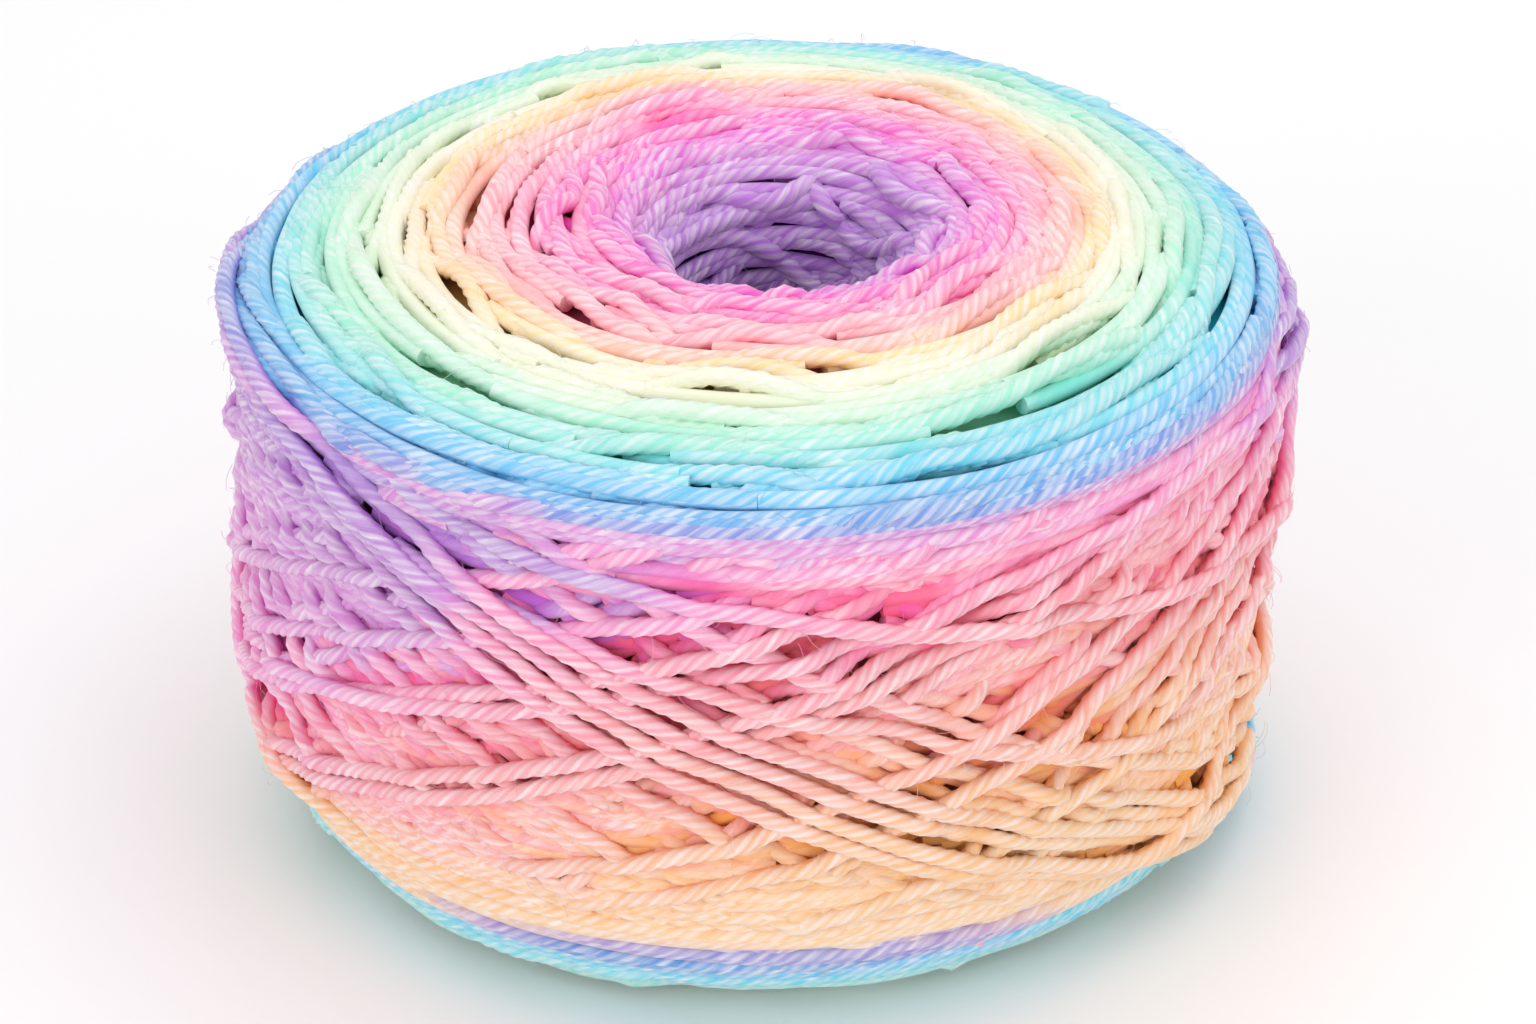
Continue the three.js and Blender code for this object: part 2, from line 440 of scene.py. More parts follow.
# Laying the strands
class Winding:
    """The cake while it is wound: how high the strands already stand at each place of
    its skin, and the strands themselves."""

    def __init__(self):
        self.top = np.full((COLUMNS, len(ALONG)), -float(BODY_DEPTH))
        self.strands = []

    def cells(self, angle, along, thick):
        """The cells below a strand's points, and how far the strand bulges over each."""
        radius = np.interp(along, ALONG, RADIUS)
        across = int(math.ceil(thick / (COLUMN * radius.min())))
        down = int(math.ceil(thick / CELL))
        sideways = np.arange(-across, across + 1)
        downward = np.arange(-down, down + 1)
        a, b = (grid.ravel() for grid in np.meshgrid(sideways, downward, indexing="ij"))
        column, row = cell_below(angle, along)
        away = (a * COLUMN * radius[:, None]) ** 2 + (b * CELL)[None, :] ** 2
        bulge = np.sqrt(np.clip(thick**2 - away, 0, None))
        columns = (column[:, None] + a[None, :]) % COLUMNS
        rows = np.clip(row[:, None] + b[None, :], 0, len(ALONG) - 1)
        return columns, rows, bulge

    def lay(self, kind, angle, along, thick, lowest=NOWHERE, pull=1 / REACH, settles=True):
        """Lays one strand. lowest is how low its middle may lie, and pull how much the
        skin curves under it, which is what draws a taut strand down between two bumps."""
        lowest = np.broadcast_to(lowest, angle.shape)
        here = np.interp(along, ALONG, RADIUS)
        steps = np.hypot(np.diff(angle) * (here[1:] + here[:-1]) / 2, np.diff(along))
        length = np.concatenate([[0], np.cumsum(steps)])
        at = np.arange(0, length[-1], LAY_STEP)
        angle, along, lowest = (np.interp(at, length, v) for v in (angle, along, lowest))
        lift = np.zeros(len(at))
        strand = dict(kind=kind, angle=angle, along=along, lift=lift, thick=thick, laid=0)
        self.strands.append(strand)
        from_end = np.minimum(at, at[-1] - at)
        dive = END_DIVE * np.clip(1 - from_end / END_RUN, 0, 1) ** 2
        for start in range(0, len(at), CHUNK):
            end = min(start + CHUNK, len(at))
            ahead = slice(start, min(end + LOOK_AHEAD, len(at)))
            behind = max(start - LOOK_AHEAD, 0)
            rest = np.maximum(self.rest(kind, angle[ahead], along[ahead], thick), lowest[ahead])
            held = np.concatenate([lift[behind:start], rest])
            part = slice(start, end)
            lift[part] = self.taut(held, pull)[start - behind:end - behind]
            lift[part] = np.maximum(soften(lift[part], LIFT_EASE), lift[part] - LIFT_CUT)
            lift[part] -= dive[part]
            self.press(angle[part], along[part], lift[part], thick)
            strand["laid"] = end
            if settles and start // CHUNK % SETTLE_EVERY == 0:
                self.settle()

    def rest(self, kind, angle, along, thick):
        """How high a limp strand would lie on what is under it."""
        rise, sink = SIDE_BEDDING if kind == "side" else CROWN_BEDDING
        columns, rows, bulge = self.cells(angle, along, thick)
        under = self.top[columns, rows]
        mean = (under * bulge).sum(1) / bulge.sum(1)
        bedded = soften(soften(mean, BEDDING_EASE), BEDDING_EASE) + rise * thick
        highest = np.where(bulge > 0, under + FIRMNESS * bulge, NOWHERE).max(1)
        return np.maximum(highest - sink, bedded)

    def taut(self, held, pull):
        """The same strand drawn taut, so that it bridges the dips."""
        taut = held.copy()
        sag = LAY_STEP**2 * pull / 2
        for _ in range(TAUT_PASSES):
            taut[1:-1] = np.maximum(held[1:-1], (taut[:-2] + taut[2:]) / 2 - sag)
        return taut

    def press(self, angle, along, lift, thick):
        """Marks a strand's upper side on the skin."""
        columns, rows, bulge = self.cells(angle, along, thick)
        height = np.where(bulge > 0, lift[:, None] + bulge, NOWHERE)
        np.maximum.at(self.top, (columns, rows), height)

    def settle(self):
        """Yarn packs down as more of it goes on: where the winding has outgrown the
        outline of the cake, all of it sinks there by as much."""
        over = np.maximum(evened(self.top) + SETTLED, 0)
        self.top = np.maximum(self.top - over, -BODY_DEPTH)
        for strand in self.strands:
            laid = slice(0, strand["laid"])
            column, row = cell_below(strand["angle"][laid], strand["along"][laid])
            sunk = over[column % COLUMNS, np.clip(row, 0, len(ALONG) - 1)]
            strand["lift"][laid] = np.maximum(strand["lift"][laid] - sunk, DEEPEST)

    def draw_in(self):
        """Evens the finished cake: strands bed into each other, and none stands proud."""
        proud = soften(np.percentile(self.top, PROUD_PERCENT, axis=0), PROUD_EASE)
        ground = evened(self.top)
        evenness = np.interp(ALONG, *np.transpose(EVENNESS))
        self.top = ground + evenness * (self.top - ground) - np.maximum(proud, 0)
        for strand in self.strands:
            column, row = cell_below(strand["angle"], strand["along"])
            level = ground[column % COLUMNS, np.clip(row, 0, len(ALONG) - 1)] - strand["thick"]
            drawn = level + np.interp(strand["along"], ALONG, evenness) * (strand["lift"] - level)
            drawn = drawn - np.maximum(np.interp(strand["along"], ALONG, proud), 0)
            strand["lift"] = np.minimum(drawn, PROUDEST - strand["thick"])
        self.top = np.minimum(self.top, PROUDEST)


def wavering(count, knots, size):
    """A slow random wander of that size, over count points."""
    marks = rng.normal(0, size, knots + 3)
    return np.interp(np.linspace(0, knots, count), np.arange(knots + 3) - 1, soften(marks, 2))


def side_layer(winding, turns, first, advance, swing_change, stray):
    """One strand that goes round the side many times, tilted, each turn a little on. It
    starts and ends at the back. advance and stray are in degrees."""
    count = int(turns * WRAP_POINTS)
    knots = int(turns * SWING_KNOTS)
    angle = np.linspace(0, turns * TURN, count)
    phase = first + math.radians(advance) * angle / TURN + wavering(count, knots, math.radians(stray))
    back = rng.uniform(*BACK)
    swing = WRAP_SWING + swing_change * rng.uniform(-1, 1, knots + 2)
    swing = np.interp(np.linspace(0, len(swing) - 1, count), np.arange(len(swing)), swing)
    middle = WRAP_MIDDLE + wavering(count, int(turns * WANDER_KNOTS), WRAP_WANDER)
    winding.lay("side", angle + back, middle - swing * np.sin(angle - phase), SIDE_YARN)


def side_layers(winding):
    """The layers of the side: some loose ones, and an even one over them."""
    for layer in range(INNER_LAYERS):
        first = rng.uniform(0, TURN)
        advance = INNER_ADVANCE + INNER_ADVANCE_CHANGE * layer
        side_layer(winding, first=first, advance=advance, **INNER_LAYER)
    side_layer(winding, **LAST_LAYER)


def main_wraps(winding):
    """The outermost wraps, laid last. Their ends sink under the wraps beside them."""
    for lean, azimuth, middle, swing, start, end in MAIN_WRAPS:
        angle = np.radians(np.linspace(start, end, MAIN_WRAP_POINTS))
        along = middle - lean * swing * np.sin(angle - math.radians(azimuth))
        winding.lay("side", angle, along, SIDE_YARN, settles=False)


def spiral(winding, kind, first, last, pitch, thick, waves, lowest):
    """One strand that goes round and round from one place of the profile to another, and
    sways in and out as it goes, so that its turns cross each other at slight angles."""
    turns = abs(last - first) / pitch
    angle = np.linspace(0, turns * TURN, int(turns * SPIRAL_POINTS)) + rng.uniform(0, STARTS)
    along = np.linspace(first, last, len(angle))
    for lobes, size in waves:
        swell = 1 + SWELL * np.sin(SWELL_RATE * lobes * angle + rng.uniform(0, STARTS))
        along = along + size * swell * np.sin(lobes * angle + rng.uniform(0, STARTS))
    winding.lay(kind, angle, along, thick, lowest, pull=SPIRAL_PULL)


def mouth_loops(winding):
    """Loops that stand on the funnel's wall and cross each other there."""
    first, last, pitch, lowest = MOUTH_WALL
    spiral(winding, "mouth", first, last, pitch, MOUTH_YARN, MOUTH_WAVES, lowest)
    first, pitch, lowest = MOUTH_RIM
    last = distance_at(MOUTH_RADIUS)
    spiral(winding, "mouth", first, last, pitch, MOUTH_YARN, MOUTH_WAVES, lowest)


def crown_rings(winding):
    """The crown: the tops of the wraps, from the rim of the hole out to the shoulder."""
    first = distance_at(CROWN_FROM)
    spiral(winding, "crown", first, CROWN_TO, CROWN_PITCH, CROWN_YARN, CROWN_WAVES, CROWN_LOWEST)


def base_rings(winding):
    """The underside, which rests: plain turns, flat where they touch."""
    spiral(winding, "base", BASE_FROM, BASE_TO, BASE_PITCH, CROWN_YARN, BASE_WAVES, BASE_LOWEST)


def turn_beneath(winding, kind, angle, along, depth):
    """One turn of a layer beneath, at a depth below the skin."""
    lift = -np.broadcast_to(depth, angle.shape)
    winding.strands.append(dict(kind=kind, angle=angle, along=along, lift=lift, thick=SIDE_YARN))


def turns_beneath(winding):
    """Turns of the layers beneath, seen only through the gaps between those on top."""
    angle = np.linspace(0, TURN, int(TURN * REACH / LAY_STEP))
    along = WRAP_MIDDLE - WRAP_SWING * np.sin(angle)
    for phase in np.arange(0, TURN, math.radians(BENEATH_SPACING)):
        depth = BENEATH_DEPTH + BENEATH_SPREAD * rng.random() + BENEATH_TURN_DEPTH * np.sin(angle) ** 4
        turn_beneath(winding, "under_wraps", angle + phase, along, depth)
    for middle in np.arange(*RINGS_BENEATH):
        radius = float(np.interp(middle, ALONG, RADIUS))
        angle = np.linspace(0, TURN, int(TURN * radius / LAY_STEP))
        along = middle + RING_SWAY * np.sin(RING_WAVES * angle)
        depth = CROWN_RING_DEPTH if middle < CROWN_RINGS_END else RING_DEPTH
        turn_beneath(winding, "under_rings", angle + RING_START * middle, along, depth)


def wind_cake():
    cake = Winding()
    mouth_loops(cake)
    crown_rings(cake)
    base_rings(cake)
    side_layers(cake)
    main_wraps(cake)
    cake.draw_in()
    turns_beneath(cake)
    return cake


# What shows of the strands
def grown(shows, spread):
    """Marks that many points more on either side of each marked point."""
    wider = shows.copy()
    for shift in range(1, spread + 1):
        wider[shift:] |= shows[:-shift]
        wider[:-shift] |= shows[shift:]
    return wider


def shown_runs(winding):
    """The stretches of each strand that lie on the outside, with how deep each lies."""
    top = winding.top
    broad = top.copy()
    for shift in range(1, SHELTER):
        broad = np.maximum(broad, np.maximum(np.roll(top, shift, 1), np.roll(top, -shift, 1)))
    runs = []
    for strand in winding.strands:
        angle, along, lift, thick = (strand[k] for k in ("angle", "along", "lift", "thick"))
        beneath = strand["kind"].startswith("under")
        tested, stands, kept = SEEN_BENEATH if beneath else SEEN_ABOVE
        columns, rows, bulge = winding.cells(angle, along, thick)
        over = lift[:, None] + bulge - top[columns, rows]
        over = np.where(bulge > tested * thick, over, NOWHERE).max(1)
        shows = grown(over > stands, int(kept / LAY_STEP))
        edges = np.flatnonzero(np.diff(np.concatenate([[0], shows.astype(int), [0]])))
        middle = bulge.shape[1] // 2
        deep = broad[columns[:, middle], rows[:, middle]] - lift - thick
        for start, end in zip(edges[::2], edges[1::2]):
            if end - start > SHORTEST_RUN:
                part = slice(start, end)
                runs.append(dict(
                    kind=strand["kind"], thick=thick, offset=start * LAY_STEP + rng.uniform(0, OFFSETS),
                    angle=angle[part], along=along[part], lift=lift[part],
                    deep=soften(deep[part], DEEP_EASE),
                ))
    return runs


def fuzz(runs):
    """Loose fibres that stand off the strands, each a short arch."""
    hairs = []
    share = np.array([len(run["lift"]) for run in runs], float)
    t = np.linspace(0, 1, HAIR_POINTS)
    for pick in rng.choice(len(runs), HAIRS, p=share / share.sum()):
        run = runs[pick]
        at = rng.integers(len(run["lift"]))
        turn = rng.uniform(0, TURN)
        length = rng.uniform(*HAIR_LENGTH)
        bend = rng.normal(0, HAIR_BEND)
        across = length * (np.cos(turn) * t - np.sin(turn) * bend * t * t * 0.5)
        down = length * (np.sin(turn) * t + np.cos(turn) * bend * t * t * 0.5)
        radius = float(np.interp(run["along"][at], ALONG, RADIUS))
        height = rng.uniform(*HAIR_RISE)
        rise = height * np.sin(math.pi * (HAIR_ARCH_START + rng.uniform(*HAIR_ARCH) * t))
        hairs.append(dict(
            kind="fuzz", thick=HAIR, offset=run["offset"], deep=np.zeros(HAIR_POINTS),
            angle=run["angle"][at] + across / radius, along=run["along"][at] + down,
            lift=run["lift"][at] + HAIR_ROOT * run["thick"] + rise,
        ))
    return hairs


# Dyeing
def swells(at, own, waves):
    """Slow changes along a strand. own is the strand's own start."""
    return sum(size * np.sin(at / length + share * own) for size, length, share in waves)


def unfolded(along):
    """The underside takes the crown's dyes, from the shoulder's blue inward."""
    return np.where(along < DYE_LAST, along, UNDERSIDE_RATE * (along - DYE_LAST))


def dye_share(dye):
    """How far along the table of dyes a dye lies, from 0 to 1."""
    return np.clip((dye - DYE_FIRST) / (DYE_LAST - DYE_FIRST), 0, 1)


def zone(along, start, width):
    """Grows from 0 to 1 over that width, and inward where the width is below 0."""
    return np.clip((along - start) / width, 0, 1)


def dye_coordinate(run, at, values):
    """Which dye each point of a run has. The dyes lie a little slanted: pink reaches far
    down the left side, the line near the foot lies lower at the sides and the back, and
    round the back of the crown each dye lies further out."""
    own, angle, along = run["offset"], values["angle"], unfolded(values["along"])
    flank = zone(along, *FLANK_TOP) * zone(along, *FLANK_END)
    away = 1 - np.cos(angle)
    drift = flank * (FLANK_SLANT * np.sin(angle + FLANK_TURN) - FLANK_DRIFT)
    drift = drift - zone(along, *FOOT_ZONE) * (FOOT_DRIFT + np.minimum(FOOT_SLANT * away, FOOT_MOST))
    drift = drift + zone(along, *CROWN_ZONE) * (CROWN_LEAN * np.sin(angle) - CROWN_SLANT * away)
    slant = MOUTH_SLANT * np.cos(angle - MOUTH_TURN)
    drift = drift + zone(along, *MOUTH_ZONE) * (MOUTH_DRIFT - slant)
    change = DYE_CHANGE * np.sin(own) + swells(at, own, DYE_SWELLS)
    change = change * (STEADY_SHARE + (1 - STEADY_SHARE) * flank)
    least = np.minimum(along, PINK_FROM + PINK_SLOPE * along) - PINK_SPARE
    dye = np.maximum(along + drift + change, least)
    dye = np.where(along < SIDE_LAST, np.minimum(dye, SIDE_LAST_DYE), dye)
    return dye_share(dye)


def linear(code):
    """A colour written as sRGB hex, as linear RGBA."""
    parts = [int(code[i:i + 2], 16) / 255 for i in (1, 3, 5)]
    return tuple(((c + 0.055) / 1.055) ** 2.4 if c > 0.04 else c / 12.92 for c in parts) + (1.0,)


# Making nodes
def node(tree, kind, sockets=None, **settings):
    """A new node, with its settings and the values of its sockets."""
    made = tree.nodes.new(kind)
    for name, value in settings.items():
        setattr(made, name, value)
    for name, value in (sockets or {}).items():
        made.inputs[name].default_value = value
    return made


def named(tree, name):
    """A number that the route carries."""
    kind = "GeometryNodeInputNamedAttribute"
    return node(tree, kind, {"Name": name}, data_type="FLOAT").outputs["Attribute"]


def math_node(tree, operation, *values):
    """What comes of an operation on numbers and sockets."""
    made = node(tree, "ShaderNodeMath", operation=operation)
    for socket, value in zip(made.inputs, values):
        if isinstance(value, (int, float)):
            socket.default_value = value
        else:
            tree.links.new(value, socket)
    return made.outputs[0]


# Spinning the strands
def strand_tree(name, sides, groove):
    """Geometry nodes that turn a route into a strand with that many sides, of which every
    other one lies in a groove."""
    tree = bpy.data.node_groups.new(name, "GeometryNodeTree")
    tree.interface.new_socket("Geometry", in_out="INPUT", socket_type="NodeSocketGeometry")
    tree.interface.new_socket("Geometry", in_out="OUTPUT", socket_type="NodeSocketGeometry")
    link = tree.links.new
    route = node(tree, "NodeGroupInput")
    curve = node(tree, "GeometryNodeMeshToCurve")
    link(route.outputs[0], curve.inputs[0])
    twist = node(tree, "GeometryNodeSetCurveTilt")
    link(curve.outputs[0], twist.inputs["Curve"])
    link(named(tree, "twist"), twist.inputs["Tilt"])

    circle = {"Resolution": sides, "Radius": 1.0}
    ring = node(tree, "GeometryNodeCurvePrimitiveCircle", circle, mode="RADIUS")
    index = node(tree, "GeometryNodeInputIndex").outputs[0]
    odd = math_node(tree, "MODULO", index, 2.0)
    scale = math_node(tree, "SUBTRACT", 1.0, math_node(tree, "MULTIPLY", odd, groove))
    where = node(tree, "GeometryNodeInputPosition")
    scaled = node(tree, "ShaderNodeVectorMath", operation="SCALE")
    link(where.outputs[0], scaled.inputs[0])
    link(scale, scaled.inputs["Scale"])
    lobes = node(tree, "GeometryNodeSetPosition")
    link(ring.outputs[0], lobes.inputs["Geometry"])
    link(scaled.outputs[0], lobes.inputs["Position"])
    store = "GeometryNodeStoreNamedAttribute"
    around = node(tree, store, {"Name": "around"}, data_type="FLOAT", domain="POINT")
    link(lobes.outputs[0], around.inputs["Geometry"])
    link(math_node(tree, "DIVIDE", index, float(sides)), around.inputs["Value"])

    spun = node(tree, "GeometryNodeCurveToMesh", {"Fill Caps": True})
    link(twist.outputs[0], spun.inputs["Curve"])
    link(around.outputs[0], spun.inputs["Profile Curve"])
    link(named(tree, "thick"), spun.inputs["Scale"])
    smooth = node(tree, "GeometryNodeSetShadeSmooth")
    link(spun.outputs[0], smooth.inputs["Geometry"])
    done = node(tree, "NodeGroupOutput")
    link(smooth.outputs[0], done.inputs[0])
    return tree


def respaced(run, step):
    """A run's places at an even step, with the distance of each along the run."""
    points = place(run["angle"], run["along"], run["lift"]) / MM
    length = np.concatenate([[0], np.cumsum(np.linalg.norm(np.diff(points, axis=0), axis=1))])
    count = max(int(length[-1] / step), 3)
    at = np.linspace(0, length[-1], count)
    values = {k: np.interp(at, length, run[k]) for k in ("angle", "along", "lift", "deep")}
    return at, values


def route_of(run, step, plied):
    """A run's route: its points, the way out of the cake at each, and what each carries.
    The plies of the finest strands are shaped, and those of the others only show as painted shade in their
    grooves."""
    at, values = respaced(run, step)
    own, thick = run["offset"], run["thick"]
    turns = TWIST_SIGN * (at + own) / PLY_PITCH
    middle = place(values["angle"], values["along"], values["lift"])
    above = place(values["angle"], values["along"], values["lift"] + 1)
    points = middle.copy()
    points[:, 2] = np.maximum(points[:, 2], thick * MM)
    carried = dict(
        thick=thick * MM * (1 + swells(at, own, FLUFF)),
        twist=TURN * turns if plied else 0 * turns,
        ply=0 * turns if plied else -turns,
        dye=dye_coordinate(run, at, values),
        # deep is painted shade where a strand lies below its neighbours
        deep=np.clip(values["deep"] / DEEPLY_SHADED, 0, 1),
        strand_u=(at + own) / STRAND_UNIT,
        bake_u=at,
    )
    return points, (above - middle) / MM, carried


def spin(name, runs, tree, step, plied, material):
    """One piece: the strands of all those runs."""
    routes, outward, edges, carried = [], [], [], []
    total, spun_length = 0, 0.0
    for run in runs:
        points, out, values = route_of(run, step, plied)
        count = len(points)
        routes.append(points)
        outward.append(out)
        edges.append(np.column_stack([np.arange(count - 1), np.arange(1, count)]) + total)
        total += count
        length = values["bake_u"][-1]
        values["bake_u"] = values["bake_u"] + spun_length
        spun_length += length + 2 * run["thick"]
        carried.append(values)
    mesh = bpy.data.meshes.new(name)
    mesh.from_pydata(np.vstack(routes).tolist(), np.vstack(edges).tolist(), [])
    for key, parts in (("middle", routes), ("outward", outward)):
        layer = mesh.attributes.new(key, "FLOAT_VECTOR", "POINT")
        layer.data.foreach_set("vector", np.vstack(parts).ravel())
    for key in carried[0]:
        values = np.concatenate([part[key] for part in carried])
        mesh.attributes.new(key, "FLOAT", "POINT").data.foreach_set("value", values)
    route = bpy.data.objects.new(name + "_route", mesh)
    bpy.context.scene.collection.objects.link(route)
    route.modifiers.new("spin", "NODES").node_group = tree
    graph = bpy.context.evaluated_depsgraph_get()
    spun = bpy.data.meshes.new_from_object(route.evaluated_get(graph))
    bpy.data.objects.remove(route)
    spun.name = name
    piece = bpy.data.objects.new(name, spun)
    bpy.context.scene.collection.objects.link(piece)
    strand_maps(spun, spun_length, runs[0]["thick"])
    mark_crevices(spun)
    spun.materials.clear()
    spun.materials.append(material)
    return piece


def numbers(items, key, kind=float, size=1):
    """What each of a mesh's items has under that name."""
    values = np.empty(size * len(items), kind)
    items.foreach_get(key, values)
    return values if size == 1 else values.reshape(-1, size)


def mark_crevices(mesh):
    """Marks the sides of each strand, where it meets its neighbours, for painted shade there."""
    middle = numbers(mesh.attributes["middle"].data, "vector", size=3)
    outward = numbers(mesh.attributes["outward"].data, "vector", size=3)
    thick = numbers(mesh.attributes["thick"].data, "value")
    up = ((numbers(mesh.vertices, "co", size=3) - middle) * outward).sum(1) / thick
    crevice = np.clip((CREVICE_FROM - up) / CREVICE_WIDTH, 0, 1)
    mesh.attributes.new("crevice", "FLOAT", "POINT").data.foreach_set("value", crevice)
    for key in ("middle", "outward"):
        mesh.attributes.remove(mesh.attributes[key])


def strand_maps(mesh, length, thick):
    """Two UV maps: one runs along and around the strand, and the other lays all of a
    piece's strands out in rows that fill a square."""
    corner = numbers(mesh.loops, "vertex_index", int)
    starts = numbers(mesh.polygons, "loop_start", int)
    sizes = numbers(mesh.polygons, "loop_total", int)
    face_of = np.repeat(np.arange(len(sizes)), sizes)
    carried = {k: numbers(mesh.attributes[k].data, "value") for k in ("around", "strand_u", "ply", "bake_u")}
    around, along, ply, laid_out = (carried[k][corner] for k in ("around", "strand_u", "ply", "bake_u"))
    spread = np.maximum.reduceat(around, starts) - np.minimum.reduceat(around, starts)
    seam = (spread > 0.5) & (sizes == 4)
    around = np.where(seam[face_of] & (around < 0.5), around + 1, around)
    strand = mesh.uv_layers.new(name="strand")
    strand.data.foreach_set("uv", np.column_stack([along, around + ply]).ravel())
    row_length = math.sqrt(length * TURN * thick)
    rows = math.ceil(length / row_length)
    row = np.floor(np.minimum.reduceat(laid_out, starts) / row_length)[face_of]
    across = (laid_out - row * row_length) / (row_length + ROW_SPARE)
    up = (row + ROW_MARGIN + (1 - 2 * ROW_MARGIN) * around) / rows
    layout = mesh.uv_layers.new(name="OFBake")
    layout.data.foreach_set("uv", np.column_stack([across, up]).ravel())


# The finish of the yarn
def strand_noise(tree, split, size, **settings):
    """A noise stretched along the strand."""
    at = node(tree, "ShaderNodeCombineXYZ")
    for i, times in enumerate(size):
        tree.links.new(math_node(tree, "MULTIPLY", split.outputs[i], times), at.inputs[i])
    noise = node(tree, "ShaderNodeTexNoise", dict(settings, Scale=1.0))
    tree.links.new(at.outputs[0], noise.inputs["Vector"])
    return noise.outputs["Fac"]


def remapped(tree, value, sockets):
    made = node(tree, "ShaderNodeMapRange", sockets)
    tree.links.new(value, made.inputs["Value"])
    return made.outputs[0]


def dye_ramp(tree):
    """The table of dyes, with painted shade in its stops deep in the throat and at the foot, as a ramp over
    the strand's own dye.
    """
    dye = node(tree, "ShaderNodeAttribute", attribute_name="dye")
    ramp = node(tree, "ShaderNodeValToRGB")
    stops = ramp.color_ramp.elements
    while len(stops) < len(DYES_AND_SHADE):
        stops.new(0.5)
    for stop, (along, code) in zip(stops, DYES_AND_SHADE):
        stop.position = (along - DYE_FIRST) / (DYE_LAST - DYE_FIRST)
        stop.color = linear(code)
    tree.links.new(dye.outputs["Fac"], ramp.inputs[0])
    return ramp.outputs[0]


def yarn_material():
    """Dyed yarn with painted light: a richer colour in the grooves, the crevices and the depth is painted
    shade, random richer patches are mottled dye, and pale patches kept to its crests also paint a highlight;
    with fine fibres."""
    material = bpy.data.materials.new("dyed_yarn_painted_light")
    material.use_nodes = True
    tree = material.node_tree
    tree.nodes.clear()
    link = tree.links.new
    out = node(tree, "ShaderNodeOutputMaterial")
    shader = node(tree, "ShaderNodeBsdfPrincipled", {
        "Roughness": 0.9,
        "Specular IOR Level": 0.15,
        "Sheen Weight": 0.25,
        "Sheen Roughness": 0.6,
    })
    link(shader.outputs[0], out.inputs[0])

    dyed = dye_ramp(tree)
    # The richer, slightly brighter colour: painted shade for grooves, crevices and depth, and the colour of
    # random richer patches of dye
    rich = node(tree, "ShaderNodeHueSaturation", {"Saturation": 1.55, "Value": 1.04})
    link(dyed, rich.inputs["Color"])

    uv = node(tree, "ShaderNodeUVMap", uv_map="strand")
    split = node(tree, "ShaderNodeSeparateXYZ")
    link(uv.outputs[0], split.inputs[0])
    patch = strand_noise(tree, split, PATCH_SIZE, Detail=3.0, Roughness=0.6)
    fibre = strand_noise(tree, split, FIBRE_SIZE, Detail=2.0, Roughness=0.7)
    # Painted shade in the grooves between the plies
    crest = math_node(tree, "COSINE", math_node(tree, "MULTIPLY", split.outputs[1], TURN * PLIES))
    groove = math_node(tree, "MULTIPLY_ADD", crest, -0.5, 0.5)

    strong = remapped(tree, patch, {"From Min": 0.46, "From Max": 0.3, "To Max": 0.7})
    # Where the richer colour goes: painted shade in grooves, crevices and depth, and random patches of dye
    painted_shade_and_mottle = math_node(tree, "MULTIPLY", groove, GROOVE_SHADE)
    for key in ("crevice", "deep"):
        mark = node(tree, "ShaderNodeAttribute", attribute_name=key)
        painted_shade_and_mottle = math_node(tree, "MAXIMUM", painted_shade_and_mottle, mark.outputs["Fac"])
    painted_shade_and_mottle = math_node(tree, "MAXIMUM", painted_shade_and_mottle, strong)
    shade = node(tree, "ShaderNodeMix", data_type="RGBA")
    link(painted_shade_and_mottle, shade.inputs["Factor"])
    link(dyed, shade.inputs["A"])
    link(rich.outputs[0], shade.inputs["B"])

    # Random pale patches kept off the grooves, crevices and depth, so that they lie on the crests: pale
    # mottling that is also a painted highlight
    pale = remapped(tree, patch, {"From Min": 0.4, "From Max": 0.66, "To Min": 0.12, "To Max": 0.7})
    pale_and_highlight = math_node(tree, "MULTIPLY", pale, math_node(tree, "SUBTRACT", 1.0, painted_shade_and_mottle))
    light = node(tree, "ShaderNodeMix", data_type="RGBA")
    link(pale_and_highlight, light.inputs["Factor"])
    link(shade.outputs["Result"], light.inputs["A"])
    light.inputs["B"].default_value = PALE_AND_HIGHLIGHT
    link(light.outputs["Result"], shader.inputs["Base Color"])

    bump = node(tree, "ShaderNodeBump", {"Strength": FIBRE_BUMP, "Distance": FIBRE_HEIGHT})
    link(fibre, bump.inputs["Height"])
    link(bump.outputs[0], shader.inputs["Normal"])
    return material


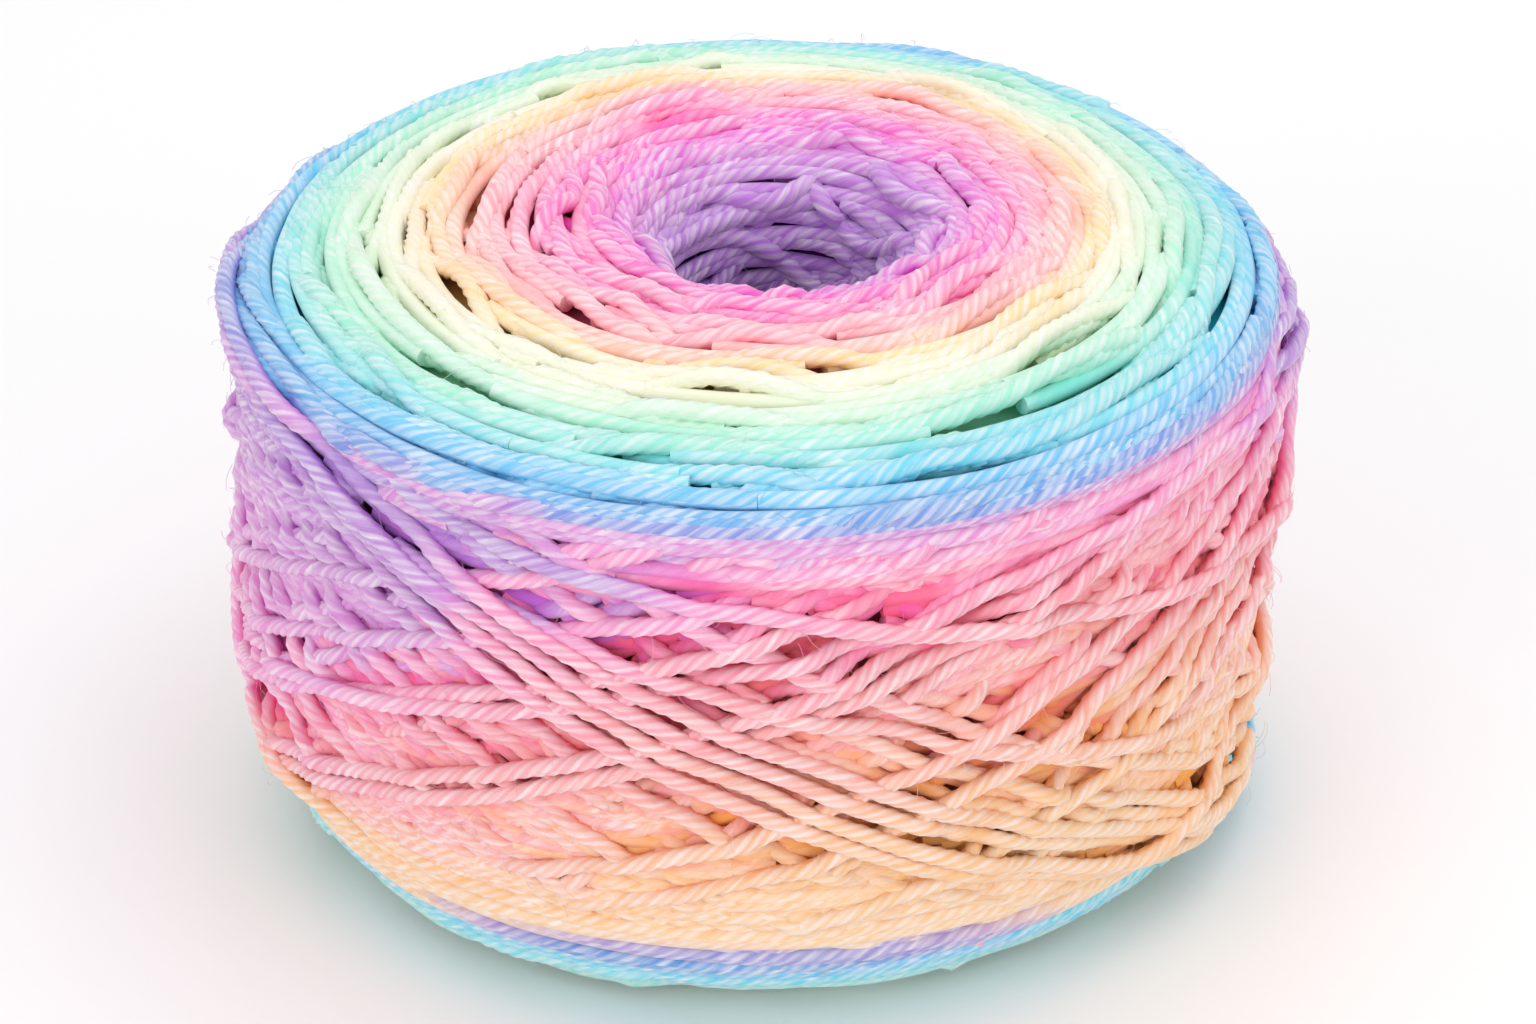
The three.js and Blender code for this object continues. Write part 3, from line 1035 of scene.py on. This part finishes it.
def core(material):
    """The wound body under the strands, which shows only between them, painted all in shade."""
    core_radius = RADIUS - CORE_INSET * OUT_R
    core_level = LEVEL - CORE_INSET * OUT_Z
    shape = bmesh.new()
    ring = []
    for radius, level in zip(core_radius[::CORE_ROWS], core_level[::CORE_ROWS]):
        ring.append(shape.verts.new((MM * radius, 0, MM * max(level, CORE_LOWEST))))
    profile = [shape.edges.new(pair) for pair in zip(ring, ring[1:] + ring[:1])]
    bmesh.ops.spin(
        shape, geom=ring + profile, cent=(0, 0, 0), axis=(0, 0, 1),
        angle=TURN, steps=CORE_STEPS, use_merge=True,
    )
    bmesh.ops.remove_doubles(shape, verts=shape.verts, dist=MM * 0.001)
    bmesh.ops.recalc_face_normals(shape, faces=shape.faces)
    for face in shape.faces:
        face.smooth = True
    mesh = bpy.data.meshes.new("wound_core")
    shape.to_mesh(mesh)
    shape.free()
    mesh.materials.append(material)
    piece = bpy.data.objects.new("wound_core", mesh)
    bpy.context.scene.collection.objects.link(piece)

    points = numbers(mesh.vertices, "co", size=3) / MM
    radius = np.hypot(points[:, 0], points[:, 1])
    gap = (radius[:, None] - core_radius) ** 2 + (points[:, 2][:, None] - core_level) ** 2
    dye = dye_share(unfolded(ALONG[gap.argmin(1)]))
    # The core takes the painted shade in full
    for key, values in (("dye", dye), ("deep", np.ones(len(dye))), ("crevice", np.ones(len(dye)))):
        mesh.attributes.new(key, "FLOAT", "POINT").data.foreach_set("value", values)
    points[:, 0] += np.where(radius < CORE_HOLE, MOUTH_OFFSET, 0)
    mesh.vertices.foreach_set("co", (points * MM).ravel())
    return piece


# The room
def aim(thing, target):
    thing.rotation_euler = (Vector(target) - thing.location).to_track_quat("-Z", "Y").to_euler()


def room_floor():
    plane = bmesh.new()
    bmesh.ops.create_grid(plane, x_segments=1, y_segments=1, size=FLOOR_SIZE)
    mesh = bpy.data.meshes.new("floor")
    plane.to_mesh(mesh)
    plane.free()
    floor = bpy.data.objects.new("floor", mesh)
    bpy.context.scene.collection.objects.link(floor)
    paint = bpy.data.materials.new("pale_floor")
    paint.use_nodes = True
    shader = paint.node_tree.nodes["Principled BSDF"]
    shader.inputs["Base Color"].default_value = FLOOR_PAINT
    shader.inputs["Roughness"].default_value = FLOOR_ROUGHNESS
    mesh.materials.append(paint)


def lights():
    world = bpy.data.worlds.new("soft_white")
    bpy.context.scene.world = world
    world.use_nodes = True
    sky = world.node_tree.nodes["Background"]
    sky.inputs["Color"].default_value = SKY_COLOUR
    sky.inputs["Strength"].default_value = SKY
    for name, spot, size, power in LAMPS:
        lamp = bpy.data.lights.new(name, "AREA")
        lamp.energy = power
        lamp.size = size
        light = bpy.data.objects.new(name, lamp)
        light.location = spot
        aim(light, LAMP_TARGET)
        bpy.context.scene.collection.objects.link(light)


def camera():
    lens = bpy.data.cameras.new("camera")
    lens.sensor_width = SENSOR
    lens.lens = FOCAL_PIXELS * SENSOR / IMAGE_WIDTH
    lens.shift_x = (IMAGE_MIDDLE[0] - CAKE_PIXEL[0]) / IMAGE_WIDTH
    lens.shift_y = (CAKE_PIXEL[1] - IMAGE_MIDDLE[1]) / IMAGE_WIDTH
    lens.clip_start = NEAREST_SEEN
    seen = bpy.data.objects.new("camera", lens)
    tilt = math.radians(CAMERA_ELEVATION)
    rise = CAMERA_TARGET + CAMERA_DISTANCE * math.sin(tilt)
    seen.location = (0, -CAMERA_DISTANCE * math.cos(tilt), rise)
    aim(seen, (0, 0, CAMERA_TARGET))
    bpy.context.scene.collection.objects.link(seen)
    bpy.context.scene.camera = seen


# Putting the cake together
def grouped(runs):
    """The runs of each piece. Side wraps that lie deep are a piece of their own, and the
    others fill several pieces."""
    groups, length = {}, 0
    for run in runs:
        key = run["kind"]
        if key == "side" and run["deep"].mean() > SIDE_UNDER_FROM:
            key = "side_under"
        elif key == "side":
            key = "side_wraps_%d" % (1 + int(length / PIECE_LENGTH))
            length += len(run["lift"]) * LAY_STEP
        groups.setdefault(key, []).append(run)
    return groups


def cake():
    yarn = yarn_material()
    runs = shown_runs(wind_cake())
    plied = strand_tree("plied_strand", 2 * PLIES, PLY_GROOVE)
    hidden = strand_tree("hidden_strand", HIDDEN_SIDES, 0.0)
    fibre = strand_tree("fibre", HAIR_SIDES, 0.0)
    pieces = [core(yarn)]
    fuzzy = [run for run in runs if run["kind"] in ("side", "crown", "mouth")]
    pieces.append(spin("loose_fibres", fuzz(fuzzy), fibre, HAIR_STEP, False, yarn))
    for key, group in sorted(grouped(runs).items()):
        name = "%s_strands" % key
        if key in HIDDEN_STEPS:
            pieces.append(spin(name, group, hidden, HIDDEN_STEPS[key], False, yarn))
        else:
            pieces.append(spin(name, group, plied, STEP, True, yarn))
    for piece in pieces:
        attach(piece, "root")
        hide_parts(SOLID)


cake()
room_floor()
lights()
camera()
bpy.context.scene.view_settings.view_transform = "Standard"
